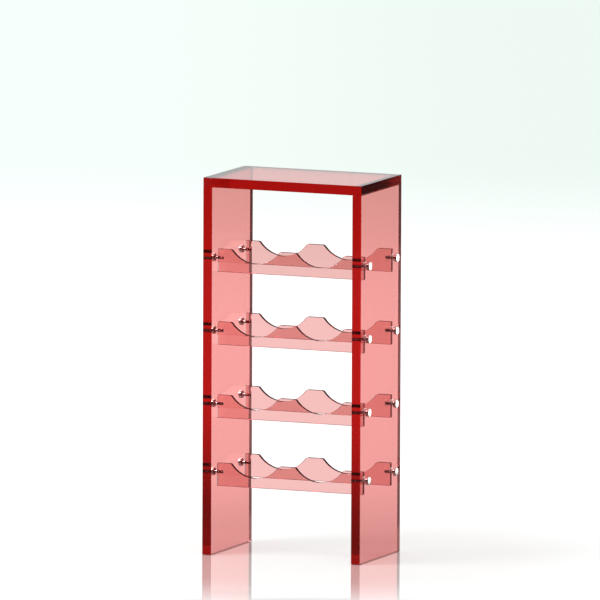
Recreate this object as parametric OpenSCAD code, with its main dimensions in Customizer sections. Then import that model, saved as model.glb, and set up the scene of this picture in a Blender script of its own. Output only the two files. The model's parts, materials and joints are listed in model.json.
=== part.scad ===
// Wine rack of thick clear red acrylic. A top panel is cemented across two side panels that stand
// on the floor. Four levels of paired scalloped rails span the sides and cradle bottles that lie
// front to back. A stud, a round cap and a washer clamp each rail end through the side panel.
// +Z is up and the front faces -Y. The origin is on the floor under the middle of the rack.

/* [Panels] */
// Overall width over the side panels
rack_w = 445; // [420:5:520]
// Overall depth
rack_d = 270; // [240:5:360]
// Overall height
rack_h = 990; // [920:10:1200]
// Thickness of the side panels and the top panel
panel_t = 25; // [18:1:30]

/* [Rails] */
// Height of a rail at its crests
rail_h = 60; // [56:1:70]
// Thickness of a rail
rail_t = 12; // [12:1:16]
// Distance from the middle of a rail to the nearer edge of the side panel
rail_inset = 43; // [30:1:60]
// Height of the lowest rails above the floor
level_1_z = 178; // [120:1:200]
// Height of the second rails above the floor
level_2_z = 357; // [330:1:380]
// Height of the third rails above the floor
level_3_z = 549; // [520:1:570]
// Height of the highest rails above the floor
level_4_z = 740; // [710:1:760]

/* [Troughs] */
// Radius of a trough that cradles a bottle
trough_r = 82; // [75:1:95]
// Depth of a trough below the crests
trough_depth = 35; // [25:1:40]
// Distance between the middles of the two troughs
trough_pitch = 182; // [175:1:200]
// Radius that rounds a crest into a trough
crest_r = 8; // [4:1:14]

/* [Fasteners] */
// Diameter of a stud
stud_d = 8; // [6:0.5:8]
// Diameter of the clearance hole through a side panel
hole_d = 9; // [8.4:0.2:11]
// Length of stud that is screwed into a rail's end
rail_thread = 16; // [12:1:30]
// Length of stud that is screwed into a cap
cap_thread = 5; // [4:0.5:6]
// Height of a stud above the underside of its rail
stud_z = 37; // [24:1:42]
// Diameter of a cap
cap_d = 21; // [16:1:26]
// Length of a cap
cap_l = 8; // [7:0.5:14]
// Width of the chamfer around a cap's face
cap_chamfer = 0.8; // [0.4:0.1:1.5]
// Diameter of the washer between a cap and the side panel
washer_d = 19; // [14:1:24]
// Thickness of the washer
washer_t = 1; // [0.5:0.5:2]

/* [Hidden] */
LEVELS = [level_1_z, level_2_z, level_3_z, level_4_z];
ENDS = ["front", "back"];
SIDES = ["left", "right"];
$fn = 96;
spill = 1; // how far a cutting shape runs past the surface that it cuts
rail_l = rack_w - 2 * panel_t;
side_h = rack_h - panel_t;
rail_y = rack_d / 2 - rail_inset;
trough_z = rail_h - trough_depth + trough_r; // middle of a trough's circle
round_z = rail_h - crest_r; // middle of a crest's rounding circle
round_x = sqrt(pow(trough_r + crest_r, 2) - pow(trough_z - round_z, 2));
contact = trough_r / (trough_r + crest_r); // where the two circles touch, as a share of the way

function y_sign(end) = end == "front" ? -1 : 1;
function x_sign(side) = side == "left" ? -1 : 1;

module acrylic() {
    color([0.86, 0.10, 0.10, 0.6])
        children();
}

// Places its children on the axis of one stud, with +Z outwards from the side panel's outer face.
module on_stud_axis(level, end, side) {
    translate([x_sign(side) * rack_w / 2, y_sign(end) * rail_y, LEVELS[level - 1] + stud_z])
        rotate([0, x_sign(side) * 90, 0])
            children();
}

// The outline that one trough removes from a rail, with the crests on both sides left rounded.
module trough() {
    difference() {
        union() {
            translate([0, trough_z])
                circle(r = trough_r);
            polygon([
                [-round_x, rail_h + spill],
                [-round_x, rail_h],
                [-round_x * contact, trough_z - (trough_z - round_z) * contact],
                [round_x * contact, trough_z - (trough_z - round_z) * contact],
                [round_x, rail_h],
                [round_x, rail_h + spill]
            ]);
        }
        for (x = [-round_x, round_x])
            translate([x, round_z])
                circle(r = crest_r);
    }
}

module rail_outline() {
    difference() {
        translate([-rail_l / 2, 0])
            square([rail_l, rail_h]);
        for (x = [-trough_pitch / 2, trough_pitch / 2])
            translate([x, 0])
                trough();
    }
}

module top_panel() {
    acrylic()
        translate([-rack_w / 2, -rack_d / 2, side_h])
            cube([rack_w, rack_d, panel_t]);
}

module side_panel(side) {
    acrylic()
        difference() {
            translate([x_sign(side) * (rack_w - panel_t) / 2 - panel_t / 2, -rack_d / 2, 0])
                cube([panel_t, rack_d, side_h]);
            for (level = [1:len(LEVELS)], end = ENDS)
                on_stud_axis(level, end, side)
                    translate([0, 0, -panel_t - spill])
                        cylinder(d = hole_d, h = panel_t + 2 * spill);
        }
}

module rail(level, end) {
    acrylic()
        difference() {
            translate([0, y_sign(end) * rail_y + rail_t / 2, LEVELS[level - 1]])
                rotate([90, 0, 0])
                    linear_extrude(height = rail_t)
                        rail_outline();
            for (side = SIDES)
                on_stud_axis(level, end, side)
                    translate([0, 0, -panel_t - rail_thread])
                        cylinder(d = stud_d, h = rail_thread + spill);
        }
}

module stud(level, end, side) {
    color("dimgray")
        on_stud_axis(level, end, side)
            translate([0, 0, -panel_t - rail_thread])
                cylinder(d = stud_d, h = rail_thread + panel_t + washer_t + cap_thread);
}

module cap(level, end, side) {
    color("silver")
        on_stud_axis(level, end, side)
            translate([0, 0, washer_t])
                difference() {
                    union() {
                        cylinder(d = cap_d, h = cap_l - cap_chamfer);
                        translate([0, 0, cap_l - cap_chamfer])
                            cylinder(d1 = cap_d, d2 = cap_d - 2 * cap_chamfer, h = cap_chamfer);
                    }
                    translate([0, 0, -spill])
                        cylinder(d = stud_d, h = cap_thread + spill);
                }
}

module washer(level, end, side) {
    color("black")
        on_stud_axis(level, end, side)
            difference() {
                cylinder(d = washer_d, h = washer_t);
                translate([0, 0, -spill])
                    cylinder(d = stud_d, h = washer_t + 2 * spill);
            }
}

top_panel();
for (side = SIDES)
    side_panel(side);
for (level = [1:len(LEVELS)], end = ENDS) {
    rail(level, end);
    for (side = SIDES) {
        place = str(level, "_", end, "_", side);
        stud(level, end, side);
        cap(level, end, side);
        washer(level, end, side);
    }
}
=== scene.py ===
"""Looks for the red acrylic wine rack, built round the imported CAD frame.

Lengths are in metres in the row frame: +Z is up, the front faces -Y and the floor is at z = 0.
"""

import json
import math

import bmesh
import bpy
from mathutils import Matrix, Vector
from mathutils.geometry import tessellate_polygon

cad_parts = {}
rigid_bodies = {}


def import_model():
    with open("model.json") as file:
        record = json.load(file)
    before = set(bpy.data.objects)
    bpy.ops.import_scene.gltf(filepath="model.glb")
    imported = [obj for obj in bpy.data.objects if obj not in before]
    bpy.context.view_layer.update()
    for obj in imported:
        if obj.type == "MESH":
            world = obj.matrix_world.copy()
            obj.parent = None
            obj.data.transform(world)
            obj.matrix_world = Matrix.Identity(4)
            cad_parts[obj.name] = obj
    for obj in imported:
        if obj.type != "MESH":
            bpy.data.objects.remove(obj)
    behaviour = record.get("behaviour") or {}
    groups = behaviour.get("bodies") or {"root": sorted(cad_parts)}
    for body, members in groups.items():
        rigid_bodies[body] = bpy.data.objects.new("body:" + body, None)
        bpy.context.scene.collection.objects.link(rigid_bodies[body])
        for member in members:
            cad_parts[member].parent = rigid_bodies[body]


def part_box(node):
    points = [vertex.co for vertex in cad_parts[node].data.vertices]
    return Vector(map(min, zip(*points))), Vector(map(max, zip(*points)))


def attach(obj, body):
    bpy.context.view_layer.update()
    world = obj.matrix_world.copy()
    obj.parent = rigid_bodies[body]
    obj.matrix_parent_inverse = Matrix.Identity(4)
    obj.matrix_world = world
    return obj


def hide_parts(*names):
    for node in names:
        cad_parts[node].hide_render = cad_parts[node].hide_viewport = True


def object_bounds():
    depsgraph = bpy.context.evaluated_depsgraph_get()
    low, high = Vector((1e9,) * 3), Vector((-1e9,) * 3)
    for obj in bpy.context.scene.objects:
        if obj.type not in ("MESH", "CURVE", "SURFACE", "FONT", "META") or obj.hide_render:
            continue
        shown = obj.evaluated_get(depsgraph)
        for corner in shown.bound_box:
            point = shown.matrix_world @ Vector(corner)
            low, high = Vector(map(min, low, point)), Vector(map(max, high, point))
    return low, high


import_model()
cad_low, cad_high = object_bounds()

MM = 0.001
LEVELS = (1, 2, 3, 4)
ENDS = ("front", "back")
SIDES = ("left", "right")

# The rails' outline, as in the CAD source.
TROUGH_R = 82 * MM
TROUGH_DEPTH = 35 * MM
TROUGH_PITCH = 182 * MM
CREST_R = 8 * MM

# Fasteners.
HOLE_R = 4.5 * MM
STUD_R = 4.0 * MM
THREAD_PITCH = 1.25 * MM
THREAD_DEPTH = 0.7 * MM
BORE_R = 4.06 * MM
BORE_CHAMFER = 0.4 * MM
DRILL_TIP = 2.0 * MM
CAP_THREAD = 5 * MM
CAP_CHAMFER = 0.8 * MM
CAP_BACK_CHAMFER = 0.35 * MM
CAP_COUNTERSINK = 0.5 * MM
CAP_DRILL_TIP = 1.2 * MM
CAP_PLAY = 0.02 * MM
CAP_GAP = 0.01 * MM  # air between a cap and its washer, on each
CAP_ROUND = 0.14 * MM  # rounding of every edge of a cap
WASHER_ROUND = 0.28 * MM
WASHER_GAP = 0.02 * MM
BORE_PLAY = 0.05 * MM  # between a washer's hole and the stud

# Finish of the acrylic sheets.
PANEL_ARRIS = 0.6 * MM
RAIL_ARRIS = 0.45 * MM
CORNER_SHARE = 1.4  # a sheet's corner radius, as a multiple of its arris
SEAM = 0.12 * MM  # arris left along a cemented joint
WELD = 0.1 * MM  # how far a side runs into the top, so that light crosses the joint
DRY_GAP = 0.06 * MM  # air left between dry faces that only touch


class Skin:
    """Faces with a normal for each corner, so that flats stay flat and curves stay smooth."""

    def __init__(self):
        self.verts, self.faces, self.normals = [], [], []

    def vert(self, point):
        self.verts.append(tuple(point))
        return len(self.verts) - 1

    def face(self, corners, normals):
        self.faces.append(tuple(corners))
        self.normals += [tuple(n) for n in normals]

    def mesh(self, name):
        made = bpy.data.meshes.new(name)
        made.from_pydata(self.verts, [], self.faces)
        made.polygons.foreach_set("use_smooth", [True] * len(self.faces))
        made.normals_split_custom_set(self.normals)
        return made


def arc(centre, radius, start, end, steps, inward=False):
    """Outline points (u, v, normal u, normal v) along an arc, with angles in radians."""
    sign = -1 if inward else 1
    made = []
    for i in range(steps + 1):
        a = start + (end - start) * i / steps
        c, s = math.cos(a), math.sin(a)
        made.append((centre[0] + radius * c, centre[1] + radius * s, sign * c, sign * s))
    return made


def rounded_box_outline(low, high, radius):
    """A rectangle's outline, anticlockwise, with small round corners."""
    quarter = math.pi / 2
    corners = (
        ((high[0] - radius, low[1] + radius), -quarter),
        ((high[0] - radius, high[1] - radius), 0.0),
        ((low[0] + radius, high[1] - radius), quarter),
        ((low[0] + radius, low[1] + radius), 2 * quarter),
    )
    return [p for centre, a in corners for p in arc(centre, radius, a, a + quarter, 4)]


def circle_hole(centre, radius, steps):
    """A round hole's outline, clockwise, with normals that point to its middle."""
    return arc(centre, radius, 2 * math.pi, 0.0, steps, inward=True)[:-1]


def rail_outline(length, height, corner):
    """A rail's outline, anticlockwise: straight base and ends, three crests and two troughs."""
    trough_z = height - TROUGH_DEPTH + TROUGH_R
    round_z = height - CREST_R
    round_x = math.sqrt((TROUGH_R + CREST_R) ** 2 - (trough_z - round_z) ** 2)
    lean = math.atan2(trough_z - round_z, round_x)
    quarter, half = math.pi / 2, math.pi
    points = []
    points += arc((-length / 2 + corner, corner), corner, -half, -quarter, 4)
    points += arc((length / 2 - corner, corner), corner, -quarter, 0, 4)
    points += arc((length / 2 - corner, height - corner), corner, 0, quarter, 4)
    for x in (TROUGH_PITCH / 2, -TROUGH_PITCH / 2):
        points += arc((x + round_x, round_z), CREST_R, quarter, half - lean, 14)
        points += arc((x, trough_z), TROUGH_R, -lean, -half + lean, 90, inward=True)[1:-1]
        points += arc((x - round_x, round_z), CREST_R, lean, quarter, 14)
    points += arc((-length / 2 + corner, height - corner), corner, quarter, half, 4)
    return points


def arris_profile(thick, near, far):
    """Rings (inset, depth, tilt) from the near face to the far one, each arris a quarter round.

    Tilt is the angle of the normal out of the sheet's plane, negative at the near face.
    """
    steps = 3
    rings = []
    for i in range(steps + 1):
        a = math.pi / 2 * (1 - i / steps)
        rings.append((near * (1 - math.cos(a)), near * (1 - math.sin(a)), -a))
    for i in range(steps + 1):
        a = math.pi / 2 * i / steps
        rings.append((far * (1 - math.cos(a)), thick - far * (1 - math.sin(a)), a))
    return rings


def plate(name, loops, thick, near, far, place, turn, bores=()):
    """A sheet cut to the outline loops[0], with the other loops as holes.

    place puts (u, v, w) in the row frame, and turn does the same for a normal. near and far are
    the arris radii of the faces at w = 0 and w = thick. bores are the blind holes in the end
    walls, each (side, depth, v, w).
    """
    skin = Skin()
    rings = arris_profile(thick, near, far)
    walls = len(rings) // 2 - 1  # the ring below the plain wall
    index = []
    for loop in loops:
        index.append(
            [
                [skin.vert(place(u - inset * nu, v - inset * nv, w)) for u, v, nu, nv in loop]
                for inset, w, _ in rings
            ]
        )

    def normal(point, tilt):
        return turn(point[2] * math.cos(tilt), point[3] * math.cos(tilt), math.sin(tilt))

    for loop, rows in zip(loops, index):
        n = len(loop)
        for k in range(len(rings) - 1):
            for i in range(n):
                j = (i + 1) % n
                if (
                    bores
                    and loop is loops[0]
                    and k == walls
                    and abs(loop[i][2]) > 0.999999
                    and abs(loop[j][2]) > 0.999999
                ):
                    continue
                skin.face(
                    (rows[k][i], rows[k][j], rows[k + 1][j], rows[k + 1][i]),
                    (
                        normal(loop[i], rings[k][2]),
                        normal(loop[j], rings[k][2]),
                        normal(loop[j], rings[k + 1][2]),
                        normal(loop[i], rings[k + 1][2]),
                    ),
                )
    for ring, way in ((0, -1), (len(rings) - 1, 1)):
        flat = [
            [
                Vector((u - rings[ring][0] * nu, v - rings[ring][0] * nv, 0))
                for u, v, nu, nv in loop
            ]
            for loop in loops
        ]
        ids = [i for rows in index for i in rows[ring]]
        points = [p for loop in flat for p in loop]
        up = turn(0, 0, way)
        for a, b, c in tessellate_polygon(flat):
            area = (points[b] - points[a]).cross(points[c] - points[a]).z
            order = (a, b, c) if area * way > 0 else (a, c, b)
            skin.face([ids[i] for i in order], [up] * 3)
    for side, depth, v0, w0 in bores:
        bore(skin, loops[0], index[0], rings, walls, side, depth, v0, w0, place, turn)
    return skin.mesh(name)


def bore(skin, loop, rows, rings, walls, side, depth, v0, w0, place, turn):
    """Closes one end wall round a blind hole: a chamfer, a straight bore and a drill point."""
    steps = 40
    n = len(loop)
    flat = [i for i in range(n) if abs(loop[i][2] - side) < 1e-6]
    low, high = min(flat, key=lambda i: loop[i][1]), max(flat, key=lambda i: loop[i][1])
    u_end = loop[low][0]
    corners = [rows[walls][low], rows[walls][high], rows[walls + 1][high], rows[walls + 1][low]]
    square = [
        Vector((loop[i][1], rings[k][1], 0))
        for k, i in ((walls, low), (walls, high), (walls + 1, high), (walls + 1, low))
    ]
    stations = (
        (BORE_R + BORE_CHAMFER, 0.0),
        (BORE_R, BORE_CHAMFER),
        (BORE_R, depth),
    )
    circles = []
    for radius, d in stations:
        ring = []
        for i in range(steps):
            a = 2 * math.pi * i / steps
            ring.append(
                skin.vert(
                    place(u_end - side * d, v0 + radius * math.cos(a), w0 + radius * math.sin(a))
                )
            )
        circles.append(ring)
    hole = [
        Vector(
            (
                v0 + stations[0][0] * math.cos(2 * math.pi * i / steps),
                w0 + stations[0][0] * math.sin(2 * math.pi * i / steps),
                0,
            )
        )
        for i in range(steps)
    ]
    ids, points = corners + circles[0], square + hole
    out = turn(side, 0, 0)
    for a, b, c in tessellate_polygon([square, hole]):
        area = (points[b] - points[a]).cross(points[c] - points[a]).z
        order = (a, b, c) if area * side > 0 else (a, c, b)
        skin.face([ids[i] for i in order], [out] * 3)

    def inward(i, along):
        a = 2 * math.pi * i / steps
        k = math.sqrt(max(0.0, 1 - along * along))
        return turn(side * along, -k * math.cos(a), -k * math.sin(a))

    tips = (0.7071, 0.0)
    for k, along in enumerate(tips):
        for i in range(steps):
            j = (i + 1) % steps
            quad = [circles[k][i], circles[k][j], circles[k + 1][j], circles[k + 1][i]]
            normals = [inward(i, along), inward(j, along), inward(j, along), inward(i, along)]
            if side > 0:
                skin.face(quad, normals)
            else:
                skin.face(quad[::-1], normals[::-1])
    tip = skin.vert(place(u_end - side * (depth + DRILL_TIP), v0, w0))
    slope = BORE_R / math.hypot(BORE_R, DRILL_TIP)
    for i in range(steps):
        j = (i + 1) % steps
        tri = [circles[2][i], circles[2][j], tip]
        normals = [inward(i, slope), inward(j, slope), turn(side, 0, 0)]
        if side > 0:
            skin.face(tri, normals)
        else:
            skin.face(tri[::-1], normals[::-1])


def outward(side):
    return -1 if side == "left" else 1


def add(name, mesh, material, stands_for):
    piece = bpy.data.objects.new(name, mesh)
    bpy.context.scene.collection.objects.link(piece)
    piece.data.materials.append(material)
    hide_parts(stands_for)
    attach(piece, "root")
    return piece


def turned(name, profile, middle, side, steps, sharp, closed=False):
    """Turns a profile of (distance out, radius) round an axis that points out of one side."""
    bm = bmesh.new()
    rows = []
    for out, radius in profile:
        x = middle[0] + side * out
        if radius < 1e-9:
            rows.append([bm.verts.new((x, middle[1], middle[2]))])
            continue
        rows.append(
            [
                bm.verts.new(
                    (
                        x,
                        middle[1] + radius * math.cos(2 * math.pi * i / steps),
                        middle[2] + radius * math.sin(2 * math.pi * i / steps),
                    )
                )
                for i in range(steps)
            ]
        )
    if closed:
        rows.append(rows[0])
    for a, b in zip(rows, rows[1:]):
        for i in range(steps):
            j = (i + 1) % steps
            quad = [a[i % len(a)], a[j % len(a)], b[j % len(b)], b[i % len(b)]]
            bm.faces.new(list(dict.fromkeys(quad)))
    bmesh.ops.recalc_face_normals(bm, faces=bm.faces)
    made = bpy.data.meshes.new(name)
    bm.to_mesh(made)
    bm.free()
    made.polygons.foreach_set("use_smooth", [True] * len(made.polygons))
    made.set_sharp_from_angle(angle=math.radians(sharp))
    return made


def rounded(points, radius, steps=3):
    """A profile whose inner corners are rounded, for turned parts."""
    made = [points[0]]
    for before, here, after in zip(points, points[1:], points[2:]):
        p, q, r = Vector(before), Vector(here), Vector(after)
        cut = min(radius, (p - q).length * 0.45, (r - q).length * 0.45)
        a, b = q + (p - q).normalized() * cut, q + (r - q).normalized() * cut
        for i in range(steps + 1):
            t = i / steps
            made.append(tuple(a * (1 - t) ** 2 + q * 2 * t * (1 - t) + b * t * t))
    made.append(points[-1])
    return made


def stud_mesh(name, start, length, middle, side):
    """A rod along X with a helical thread and chamfered ends. start is how far out it begins."""
    around, per_turn = 24, 4
    crest, root = STUD_R - 0.05 * MM, STUD_R - THREAD_DEPTH
    form = ((0.0, root), (0.18, root), (0.5, crest), (0.68, crest))
    turns = int(length / THREAD_PITCH) + 3
    bm = bmesh.new()
    rows = []
    for t in range(turns):
        for share, radius in form:
            row = []
            for i in range(around):
                s = (t - 1.5 + share + i / around) * THREAD_PITCH
                s = min(max(s, 0.0), length)
                edge = min(s, length - s)
                r = min(radius, root - 0.1 * MM + edge * 0.9)
                a = 2 * math.pi * i / around
                row.append(
                    bm.verts.new(
                        (
                            middle[0] + side * (start + s),
                            middle[1] + r * math.cos(a),
                            middle[2] + r * math.sin(a),
                        )
                    )
                )
            rows.append(row)
    for k in range(len(rows) - 1):
        for i in range(around):
            if i + 1 < around:
                quad = [rows[k][i], rows[k][i + 1], rows[k + 1][i + 1], rows[k + 1][i]]
            elif k + 1 + per_turn < len(rows):
                start_of_turn, above = rows[k + per_turn][0], rows[k + 1 + per_turn][0]
                quad = [rows[k][i], start_of_turn, above, rows[k + 1][i]]
            else:
                continue
            bm.faces.new(quad)
    bmesh.ops.remove_doubles(bm, verts=bm.verts, dist=1e-7)
    bmesh.ops.dissolve_degenerate(bm, edges=bm.edges, dist=1e-7)
    loose = [v for v in bm.verts if not v.link_faces]
    bmesh.ops.delete(bm, geom=loose, context="VERTS")
    bmesh.ops.holes_fill(bm, edges=[e for e in bm.edges if e.is_boundary], sides=0)
    bmesh.ops.recalc_face_normals(bm, faces=bm.faces)
    made = bpy.data.meshes.new(name)
    bm.to_mesh(made)
    bm.free()
    made.polygons.foreach_set("use_smooth", [True] * len(made.polygons))
    made.set_sharp_from_angle(angle=math.radians(35))
    return made


# ---------------------------------------------------------------- materials


def new_material(name):
    made = bpy.data.materials.new(name)
    made.use_nodes = True
    return made, made.node_tree.nodes, made.node_tree.links


def math_node(nodes, links, operation, a, b=None, clamp=False):
    n = nodes.new("ShaderNodeMath")
    n.operation = operation
    n.use_clamp = clamp
    for socket, value in zip(n.inputs, (a, b)):
        if value is None:
            continue
        if isinstance(value, (int, float)):
            socket.default_value = value
        else:
            links.new(value, socket)
    return n.outputs[0]


def mixed(nodes, links, factor, low, high, blend="MIX"):
    """A colour mix, where each of factor, low and high is a socket or a plain value."""
    n = nodes.new("ShaderNodeMix")
    n.data_type = "RGBA"
    n.blend_type = blend
    for socket, value in zip((n.inputs[0], n.inputs[6], n.inputs[7]), (factor, low, high)):
        if isinstance(value, bpy.types.NodeSocket):
            links.new(value, socket)
        else:
            socket.default_value = value
    return n.outputs[2]


def noise(nodes, links, vector, scale, detail=3.0, stretch=(1, 1, 1), turn=(0, 0, 0), rough=0.5):
    mapping = nodes.new("ShaderNodeMapping")
    mapping.inputs["Scale"].default_value = stretch
    mapping.inputs["Rotation"].default_value = turn
    links.new(vector, mapping.inputs["Vector"])
    n = nodes.new("ShaderNodeTexNoise")
    n.inputs["Scale"].default_value = scale
    n.inputs["Detail"].default_value = detail
    n.inputs["Roughness"].default_value = rough
    links.new(mapping.outputs[0], n.inputs["Vector"])
    return n.outputs["Fac"]


def span(nodes, links, value, low, high, to_low=0.0, to_high=1.0):
    n = nodes.new("ShaderNodeMapRange")
    n.interpolation_type = "SMOOTHSTEP"
    for key, v in (("From Min", low), ("From Max", high), ("To Min", to_low), ("To Max", to_high)):
        n.inputs[key].default_value = v
    links.new(value, n.inputs["Value"])
    return n.outputs[0]


def lean(nodes, links, vector, way, low, high, to_low, to_high):
    """How far a point or direction leans one way, as a smooth step."""
    toward = nodes.new("ShaderNodeVectorMath")
    toward.operation = "DOT_PRODUCT"
    toward.inputs[1].default_value = way
    links.new(vector, toward.inputs[0])
    return span(nodes, links, toward.outputs["Value"], low, high, to_low, to_high)


PANEL_TINT = (1.0, 0.61, 0.60, 1)
RAIL_TINT = (0.86, 0.575, 0.56, 1)
# Painted shade for the rails' cut edges: a dark red that stands in for how deep the edges look in
# the light.
RAIL_EDGE_PAINTED_SHADE = (0.30, 0.03, 0.04, 1)
ACRYLIC_ABSORBS = (2.6, 16.0, 16.8)  # per metre, in red, green and blue


def acrylic(name, face_axis, tint, edge_shade_tint, edge_rough, end_rough=0.0):
    """Clear red acrylic: wipe marks and smears on the faces, polishing marks on the cut edges.

    face_axis is the axis that the faces look along; edge_shade_tint is painted shade for the cut
    edges.
    """
    made, nodes, links = new_material(name)
    shader = nodes["Principled BSDF"]
    shader.inputs["IOR"].default_value = 1.49
    shader.inputs["Transmission Weight"].default_value = 1.0
    where = nodes.new("ShaderNodeTexCoord")
    at = where.outputs["Object"]
    split = nodes.new("ShaderNodeSeparateXYZ")
    links.new(where.outputs["Normal"], split.inputs[0])
    facing = math_node(nodes, links, "ABSOLUTE", split.outputs[face_axis])
    cut_edge = span(nodes, links, facing, 0.8, 0.3)
    shader.inputs["Base Color"].default_value = tint
    # Painted shade: where edge_shade_tint differs from tint, the cut edges get a darker tint than
    # the faces.
    if edge_shade_tint != tint:
        links.new(mixed(nodes, links, cut_edge, tint, edge_shade_tint), shader.inputs["Base Color"])
    scratch_sets = []
    for turn, scale in (((0.3, 0.9, 0.4), 60.0), ((1.1, 0.2, 1.7), 75.0), ((2.0, 1.4, 0.1), 50.0)):
        lines = noise(nodes, links, at, scale, 2.0, (1.0, 30.0, 30.0), turn)
        scratch_sets.append(span(nodes, links, lines, 0.66, 0.72))
    scratches = math_node(nodes, links, "MAXIMUM", scratch_sets[0], scratch_sets[1])
    scratches = math_node(nodes, links, "MAXIMUM", scratches, scratch_sets[2])
    smears = span(nodes, links, noise(nodes, links, at, 9.0, 4.0), 0.5, 0.75)
    marks = noise(nodes, links, at, 500.0, 2.0)
    polish = span(nodes, links, marks, 0.2, 0.8, 0.4 * edge_rough, 1.3 * edge_rough)
    rough = math_node(nodes, links, "MULTIPLY", scratches, 0.05)
    smears = math_node(nodes, links, "MULTIPLY", smears, 0.012)
    polish = math_node(nodes, links, "MULTIPLY", cut_edge, polish)
    rough = math_node(nodes, links, "ADD", rough, smears)
    rough = math_node(nodes, links, "ADD", rough, polish)
    if end_rough:
        end_on = math_node(nodes, links, "ABSOLUTE", split.outputs[0])
        sawn = span(nodes, links, end_on, 0.95, 0.99, 0.0, end_rough)
        rough = math_node(nodes, links, "ADD", rough, sawn)
    links.new(math_node(nodes, links, "ADD", rough, 0.002), shader.inputs["Roughness"])
    wave = noise(nodes, links, at, 12.0, 1.0)
    wave = math_node(nodes, links, "MULTIPLY", wave, 0.3)
    ripple = math_node(nodes, links, "MULTIPLY", noise(nodes, links, at, 160.0, 2.0), cut_edge)
    ripple = math_node(nodes, links, "MULTIPLY", ripple, 0.08)
    grooves = math_node(nodes, links, "MULTIPLY", scratches, 0.01)
    height = math_node(nodes, links, "ADD", wave, ripple)
    height = math_node(nodes, links, "SUBTRACT", height, grooves)
    bump = nodes.new("ShaderNodeBump")
    bump.inputs["Strength"].default_value = 0.3
    bump.inputs["Distance"].default_value = 0.0002
    links.new(height, bump.inputs["Height"])
    links.new(bump.outputs[0], shader.inputs["Normal"])
    density = max(ACRYLIC_ABSORBS)
    volume = nodes.new("ShaderNodeVolumeAbsorption")
    volume.inputs["Density"].default_value = density
    volume.inputs["Color"].default_value = (*[1 - a / density for a in ACRYLIC_ABSORBS], 1)
    links.new(volume.outputs[0], nodes["Material Output"].inputs["Volume"])
    return made


def chrome(name):
    """Chrome plate: faint smears and turning marks, and a satin, slightly warm end face."""
    made, nodes, links = new_material(name)
    shader = nodes["Principled BSDF"]
    shader.inputs["Metallic"].default_value = 1.0
    where = nodes.new("ShaderNodeTexCoord")
    at = where.outputs["Object"]
    split = nodes.new("ShaderNodeSeparateXYZ")
    links.new(where.outputs["Normal"], split.inputs[0])
    end_face = span(nodes, links, math_node(nodes, links, "ABSOLUTE", split.outputs[0]), 0.8, 0.98)
    smears = noise(nodes, links, at, 240.0, 4.0)
    fine = noise(nodes, links, at, 1500.0, 2.0, (8.0, 1.0, 1.0))
    rough = math_node(nodes, links, "MULTIPLY", end_face, 0.22)
    rough = math_node(nodes, links, "ADD", rough, span(nodes, links, smears, 0.4, 0.8, 0.04, 0.12))
    links.new(rough, shader.inputs["Roughness"])
    tint = mixed(nodes, links, smears, (0.78, 0.78, 0.77, 1), (0.88, 0.88, 0.86, 1))
    tint = mixed(nodes, links, end_face, tint, (0.97, 0.88, 0.82, 1))
    links.new(tint, shader.inputs["Base Color"])
    bump = nodes.new("ShaderNodeBump")
    bump.inputs["Strength"].default_value = 0.15
    bump.inputs["Distance"].default_value = 0.00002
    links.new(fine, bump.inputs["Height"])
    links.new(bump.outputs[0], shader.inputs["Normal"])
    return made


def zinc_steel(name):
    """Zinc-plated thread: mottled grey with darker grime in it."""
    made, nodes, links = new_material(name)
    shader = nodes["Principled BSDF"]
    shader.inputs["Metallic"].default_value = 1.0
    where = nodes.new("ShaderNodeTexCoord")
    at = where.outputs["Object"]
    patches = noise(nodes, links, at, 900.0, 4.0)
    grime = span(nodes, links, patches, 0.3, 0.7)
    tint = mixed(nodes, links, grime, (0.22, 0.21, 0.20, 1), (0.50, 0.50, 0.48, 1))
    links.new(tint, shader.inputs["Base Color"])
    links.new(span(nodes, links, patches, 0.3, 0.8, 0.22, 0.45), shader.inputs["Roughness"])
    return made


def rubber(name):
    """Black rubber: fine grain and a dusty bloom."""
    made, nodes, links = new_material(name)
    shader = nodes["Principled BSDF"]
    where = nodes.new("ShaderNodeTexCoord")
    at = where.outputs["Object"]
    grain = noise(nodes, links, at, 2500.0, 3.0)
    bloom = noise(nodes, links, at, 180.0, 3.0)
    tint = mixed(nodes, links, bloom, (0.012, 0.012, 0.013, 1), (0.035, 0.034, 0.033, 1))
    links.new(tint, shader.inputs["Base Color"])
    links.new(span(nodes, links, bloom, 0.3, 0.7, 0.5, 0.75), shader.inputs["Roughness"])
    bump = nodes.new("ShaderNodeBump")
    bump.inputs["Strength"].default_value = 0.4
    bump.inputs["Distance"].default_value = 0.00005
    links.new(grain, bump.inputs["Height"])
    links.new(bump.outputs[0], shader.inputs["Normal"])
    return made


# ------------------------------------------------------------------- pieces

top_low, top_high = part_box("top_panel")
bore_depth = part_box("rail_1_front")[1].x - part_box("stud_1_front_right")[0].x

panel_red = {
    "top": acrylic("acrylic_top", 2, PANEL_TINT, PANEL_TINT, 0.04, 0.2),
    "side": acrylic("acrylic_side", 0, PANEL_TINT, PANEL_TINT, 0.04),
    "rail": acrylic("acrylic_rail", 1, RAIL_TINT, RAIL_EDGE_PAINTED_SHADE, 0.10),
}
cap_chrome = chrome("chrome_cap")
stud_zinc = zinc_steel("zinc_stud")
washer_black = rubber("rubber_washer")

corner = CORNER_SHARE * PANEL_ARRIS
size = top_high - top_low
add(
    "top_sheet",
    plate(
        "top_sheet",
        [rounded_box_outline((top_low.x, top_low.y), (top_high.x, top_high.y), corner)],
        size.z,
        SEAM,
        PANEL_ARRIS,
        lambda u, v, w: (u, v, top_low.z + w),
        lambda nu, nv, nw: (nu, nv, nw),
    ),
    panel_red["top"],
    "top_panel",
)

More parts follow.
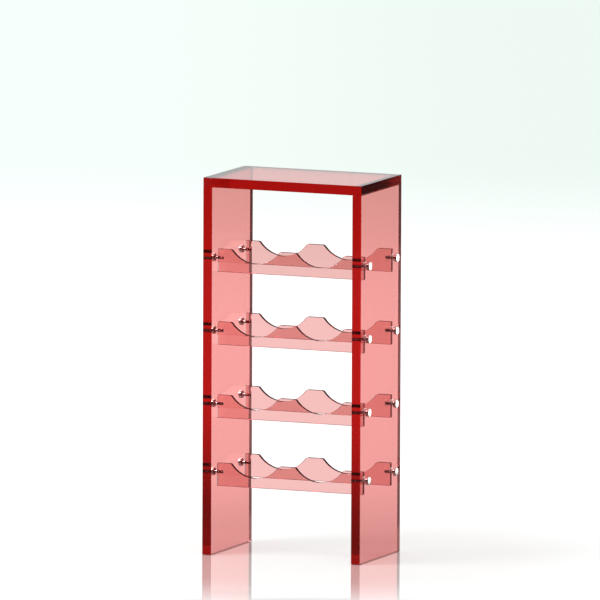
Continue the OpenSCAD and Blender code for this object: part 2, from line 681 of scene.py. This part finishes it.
for side in SIDES:
    low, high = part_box(f"{side}_side_panel")
    holes = []
    for level in LEVELS:
        for end in ENDS:
            a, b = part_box(f"stud_{level}_{end}_{side}")
            middle = (a + b) / 2
            holes.append(circle_hole((middle.y, middle.z), HOLE_R, 48))
    outline = rounded_box_outline((low.y, low.z), (high.y, high.z + WELD), corner)
    add(
        f"{side}_side_sheet",
        plate(
            f"{side}_side_sheet",
            [outline, *holes],
            high.x - low.x,
            PANEL_ARRIS,
            PANEL_ARRIS,
            lambda u, v, w, x=low.x: (x + w, u, v),
            lambda nu, nv, nw: (nw, nu, nv),
        ),
        panel_red["side"],
        f"{side}_side_panel",
    )

for level in LEVELS:
    for end in ENDS:
        low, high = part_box(f"rail_{level}_{end}")
        stud_a, stud_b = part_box(f"stud_{level}_{end}_right")
        stud_z = (stud_a.z + stud_b.z) / 2 - low.z
        length = high.x - low.x - 2 * DRY_GAP
        thick = high.y - low.y
        add(
            f"rail_sheet_{level}_{end}",
            plate(
                f"rail_sheet_{level}_{end}",
                [rail_outline(length, high.z - low.z, CORNER_SHARE * RAIL_ARRIS)],
                thick,
                RAIL_ARRIS,
                RAIL_ARRIS,
                lambda u, v, w, y=high.y, z=low.z: (u, y - w, z + v),
                lambda nu, nv, nw: (nu, -nw, nv),
                bores=[(s, bore_depth, stud_z, thick / 2) for s in (-1, 1)],
            ),
            panel_red["rail"],
            f"rail_{level}_{end}",
        )
        for side in SIDES:
            way = outward(side)
            place = f"{level}_{end}_{side}"
            a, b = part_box(f"stud_{place}")
            inner = min(abs(a.x), abs(b.x))
            outer = max(abs(a.x), abs(b.x))
            axis = (0.0, (a.y + b.y) / 2, (a.z + b.z) / 2)
            add(
                f"threaded_stud_{place}",
                stud_mesh(f"threaded_stud_{place}", inner, outer - inner, axis, way),
                stud_zinc,
                f"stud_{place}",
            )
            a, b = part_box(f"cap_{place}")
            inner, outer = min(abs(a.x), abs(b.x)), max(abs(a.x), abs(b.x))
            radius = (b.z - a.z) / 2
            profile = rounded(
                [
                    (inner + CAP_THREAD + CAP_DRILL_TIP, 0.0),
                    (inner + CAP_THREAD, STUD_R + CAP_PLAY),
                    (inner + CAP_COUNTERSINK, STUD_R + CAP_PLAY),
                    (inner + CAP_GAP, STUD_R + CAP_COUNTERSINK),
                    (inner + CAP_GAP, radius - CAP_BACK_CHAMFER),
                    (inner + CAP_BACK_CHAMFER, radius),
                    (outer - CAP_CHAMFER, radius),
                    (outer, radius - CAP_CHAMFER),
                    (outer, 0.0),
                ],
                CAP_ROUND,
            )
            add(
                f"round_cap_{place}",
                turned(f"round_cap_{place}", profile, axis, way, 72, 25),
                cap_chrome,
                f"cap_{place}",
            )
            a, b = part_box(f"washer_{place}")
            inner, outer = min(abs(a.x), abs(b.x)), max(abs(a.x), abs(b.x))
            inner, outer = inner + WASHER_GAP, outer - CAP_GAP
            wide = (b.z - a.z) / 2 - WASHER_ROUND
            narrow = STUD_R + BORE_PLAY + WASHER_ROUND
            profile = []
            for out, radius, start in (
                (outer - WASHER_ROUND, wide, 0),
                (inner + WASHER_ROUND, wide, 90),
                (inner + WASHER_ROUND, narrow, 180),
                (outer - WASHER_ROUND, narrow, 270),
            ):
                for i in range(4):
                    t = math.radians(start + 30 * i)
                    profile.append(
                        (out + WASHER_ROUND * math.cos(t), radius + WASHER_ROUND * math.sin(t))
                    )
            add(
                f"rubber_washer_{place}",
                turned(f"rubber_washer_{place}", profile, axis, way, 56, 40, closed=True),
                washer_black,
                f"washer_{place}",
            )

# -------------------------------------------------------------------- stage
#
# The floor takes shadows and reflections near the rack and glows beyond it. Rays that were
# reflected see a darker floor and sky, which give the cut edges their deep red.

FLOOR_R = 60.0
NEAR_R, FAR_R = 0.45, 1.3  # where the glow starts, and where nothing else is left
DARK_SIDE = (-0.39, -0.92, 0.0)  # the unlit side of the studio
HORIZON = (0.90, 0.99, 0.945, 1)
FLOOR_DROP = 0.0004  # keeps the floor clear of the sheets' lower edges

bm = bmesh.new()
bmesh.ops.create_circle(bm, cap_ends=True, radius=FLOOR_R, segments=96)
bmesh.ops.translate(bm, verts=bm.verts, vec=(0, 0, -FLOOR_DROP))
floor_mesh = bpy.data.meshes.new("floor")
bm.to_mesh(floor_mesh)
bm.free()
floor = bpy.data.objects.new("floor", floor_mesh)
bpy.context.scene.collection.objects.link(floor)

made, nodes, links = new_material("floor_white")
nodes.remove(nodes["Principled BSDF"])
output = nodes["Material Output"]
path = nodes.new("ShaderNodeLightPath")
where = nodes.new("ShaderNodeTexCoord")
length = nodes.new("ShaderNodeVectorMath")
length.operation = "LENGTH"
links.new(where.outputs["Object"], length.inputs[0])
distance = length.outputs["Value"]
diffuse = nodes.new("ShaderNodeBsdfDiffuse")
diffuse.inputs["Color"].default_value = (0.71, 0.70, 0.69, 1)
gloss = nodes.new("ShaderNodeBsdfGlossy")
gloss.inputs["Color"].default_value = (1.40, 1.40, 1.40, 1)
gloss.inputs["Roughness"].default_value = 0.03
graze = nodes.new("ShaderNodeLayerWeight")
graze.inputs["Blend"].default_value = 0.5
mirror = span(nodes, links, graze.outputs["Facing"], 0.70, 0.90, 0.0, 0.8)
near = nodes.new("ShaderNodeMixShader")
links.new(mirror, near.inputs[0])
links.new(diffuse.outputs[0], near.inputs[1])
links.new(gloss.outputs[0], near.inputs[2])
fade = span(nodes, links, distance, 4.4, 8.4)
bright = mixed(nodes, links, fade, (1.20, 1.21, 1.21, 1), HORIZON)
falloff = lean(nodes, links, where.outputs["Object"], (0.92, 0.39, 0.0), -0.8, 0.8, 1.03, 0.96)
bright_floor = mixed(nodes, links, 1.0, bright, falloff, "MULTIPLY")
compass = nodes.new("ShaderNodeVectorMath")
compass.operation = "NORMALIZE"
links.new(where.outputs["Object"], compass.inputs[0])
sector = lean(nodes, links, compass.outputs[0], DARK_SIDE, 0.80, 0.93, 0.0, 1.0)
right_back = lean(nodes, links, compass.outputs[0], (0.39, 0.92, 0.0), 0.75, 0.95, 1.1, 0.85)
inner_bright = mixed(nodes, links, 1.0, bright, right_back, "MULTIPLY")
# Painted shade: rays that were reflected and then passed through the sheets see the floor darker
# near the rack's base.
shade_near_base = span(nodes, links, distance, 0.3, 3.0, 0.3, 1.0)
inner_bright = mixed(nodes, links, 1.0, inner_bright, shade_near_base, "MULTIPLY")
inner_dark = span(nodes, links, distance, 2.0, 7.0, 0.20, 0.02)
inner = mixed(nodes, links, sector, inner_bright, inner_dark)
inside = math_node(nodes, links, "GREATER_THAN", path.outputs["Transmission Depth"], 0.5)
mirrored = mixed(nodes, links, inside, (0.10, 0.10, 0.10, 1), inner)
reflected = math_node(nodes, links, "GREATER_THAN", path.outputs["Glossy Depth"], 0.5)
far = nodes.new("ShaderNodeEmission")
links.new(mixed(nodes, links, reflected, bright_floor, mirrored), far.inputs["Color"])
blend = nodes.new("ShaderNodeMixShader")
glows = span(nodes, links, distance, NEAR_R, FAR_R)
links.new(math_node(nodes, links, "MAXIMUM", reflected, glows), blend.inputs[0])
links.new(near.outputs[0], blend.inputs[1])
links.new(far.outputs[0], blend.inputs[2])
side_of = nodes.new("ShaderNodeNewGeometry")
clear = nodes.new("ShaderNodeBsdfTransparent")
one_way = nodes.new("ShaderNodeMixShader")
links.new(side_of.outputs["Backfacing"], one_way.inputs[0])
links.new(blend.outputs[0], one_way.inputs[1])
links.new(clear.outputs[0], one_way.inputs[2])
links.new(one_way.outputs[0], output.inputs["Surface"])
made.cycles.emission_sampling = "NONE"
floor.data.materials.append(made)

world = bpy.data.worlds.new("studio")
bpy.context.scene.world = world
world.use_nodes = True
nodes, links = world.node_tree.nodes, world.node_tree.links
where = nodes.new("ShaderNodeTexCoord")
split = nodes.new("ShaderNodeSeparateXYZ")
links.new(where.outputs["Generated"], split.inputs[0])
up = split.outputs[2]
path = nodes.new("ShaderNodeLightPath")
rise = span(nodes, links, up, 0.0, 0.6)
dome = mixed(nodes, links, rise, HORIZON, (1.1, 1.12, 1.1, 1))
ramp = nodes.new("ShaderNodeValToRGB")
ramp.color_ramp.interpolation = "EASE"
stops = (
    (0.0, 0.05),
    (0.49, 0.05),
    (0.50, 0.82),
    (0.60, 0.82),
    (0.64, 0.08),
    (0.88, 0.08),
    (0.93, 1.0),
)
elements = ramp.color_ramp.elements
while len(elements) < len(stops):
    elements.new(1.0)
for element, (position, value) in zip(elements, stops):
    element.position = position
    element.color = (value, value, value, 1)
links.new(span(nodes, links, up, -1.0, 1.0), ramp.inputs[0])
lit = lean(nodes, links, where.outputs["Generated"], DARK_SIDE, 0.80, 0.93, 1.0, 0.1)
shaded = mixed(nodes, links, lit, (0.0, 0.0, 0.0, 1), ramp.outputs[0])
reflected = math_node(nodes, links, "GREATER_THAN", path.outputs["Glossy Depth"], 0.5)
links.new(mixed(nodes, links, reflected, dome, shaded), nodes["Background"].inputs["Color"])

key = bpy.data.lights.new("key", "AREA")
key.shape = "RECTANGLE"
key.size, key.size_y = 1.4, 1.0
key.energy = 95
key_object = bpy.data.objects.new("key", key)
bpy.context.scene.collection.objects.link(key_object)
key_object.location = (-1.9, -1.5, 2.6)
key_object.rotation_mode = "QUATERNION"
key_aim = Vector((0, 0, 0.5)) - key_object.location
key_object.rotation_quaternion = key_aim.to_track_quat("-Z", "Y")

# A dark band round the rack that only reflections see.
BAND_R, BAND_LOW, BAND_HIGH = 2.5, 0.50, 1.23
bm = bmesh.new()
bmesh.ops.create_cone(
    bm, cap_ends=False, segments=96, radius1=BAND_R, radius2=BAND_R, depth=BAND_HIGH - BAND_LOW
)
bmesh.ops.translate(bm, verts=bm.verts, vec=(0, 0, (BAND_LOW + BAND_HIGH) / 2))
band_mesh = bpy.data.meshes.new("dark_band")
bm.to_mesh(band_mesh)
bm.free()
band = bpy.data.objects.new("dark_band", band_mesh)
bpy.context.scene.collection.objects.link(band)
made, nodes, links = new_material("dark_band")
nodes.remove(nodes["Principled BSDF"])
dim = nodes.new("ShaderNodeEmission")
dim.inputs["Color"].default_value = (0.03, 0.025, 0.025, 1)
links.new(dim.outputs[0], nodes["Material Output"].inputs["Surface"])
made.cycles.emission_sampling = "NONE"
band.data.materials.append(made)
band.visible_camera = band.visible_diffuse = band.visible_transmission = False
band.visible_shadow = band.visible_volume_scatter = False

# One light panel for the end faces of the caps on each side.
caps = bpy.data.collections.new("caps")
for piece in bpy.data.objects:
    if piece.name.startswith("round_cap"):
        caps.objects.link(piece)
for side in SIDES:
    way = outward(side)
    panel = bpy.data.lights.new(f"cap_panel_{side}", "AREA")
    panel.shape = "RECTANGLE"
    panel.size, panel.size_y = 3.2, 1.5
    panel.energy = 50
    held = bpy.data.objects.new(f"cap_panel_{side}", panel)
    bpy.context.scene.collection.objects.link(held)
    held.location = (way * 0.95, 1.3, 0.55)
    held.rotation_mode = "QUATERNION"
    held.rotation_quaternion = Vector((-way, 0, 0)).to_track_quat("-Z", "Z")
    held.visible_camera = held.visible_transmission = held.visible_diffuse = False
    held.light_linking.receiver_collection = caps

# ------------------------------------------------------------------- camera

AZIMUTH, ELEVATION, ROLL = math.radians(22.94), math.radians(7.60), math.radians(0.23)
VIEW_WIDTH = 1.5592516  # metres across the view at the rack
AIM_RIGHT, AIM_UP = 0.0473148, 0.6754812  # from the middle of the front base edge, in metres
ca, sa = math.cos(AZIMUTH), math.sin(AZIMUTH)
ce, se = math.cos(ELEVATION), math.sin(ELEVATION)
cr, sr = math.cos(ROLL), math.sin(ROLL)
right = Vector((ca, sa, 0))
up = Vector((-sa * se, ca * se, ce))
forward = Vector((-sa * ce, ca * ce, -se))
target = Vector((0, cad_low.y, 0)) + right * AIM_RIGHT + up * AIM_UP
camera = bpy.data.cameras.new("camera")
camera.lens = 1000.0
camera.sensor_width = 36.0
camera.clip_start, camera.clip_end = 1.0, 200.0
distance = VIEW_WIDTH * camera.lens / camera.sensor_width
camera_object = bpy.data.objects.new("camera", camera)
bpy.context.scene.collection.objects.link(camera_object)
cam_right, cam_up = right * cr + up * sr, up * cr - right * sr
turn = Matrix((cam_right, cam_up, -forward)).transposed()
camera_object.matrix_world = Matrix.Translation(target - forward * distance) @ turn.to_4x4()
bpy.context.scene.camera = camera_object

bpy.context.scene.view_settings.view_transform = "Standard"
bpy.context.scene.cycles.max_bounces = 20
bpy.context.scene.cycles.glossy_bounces = 12
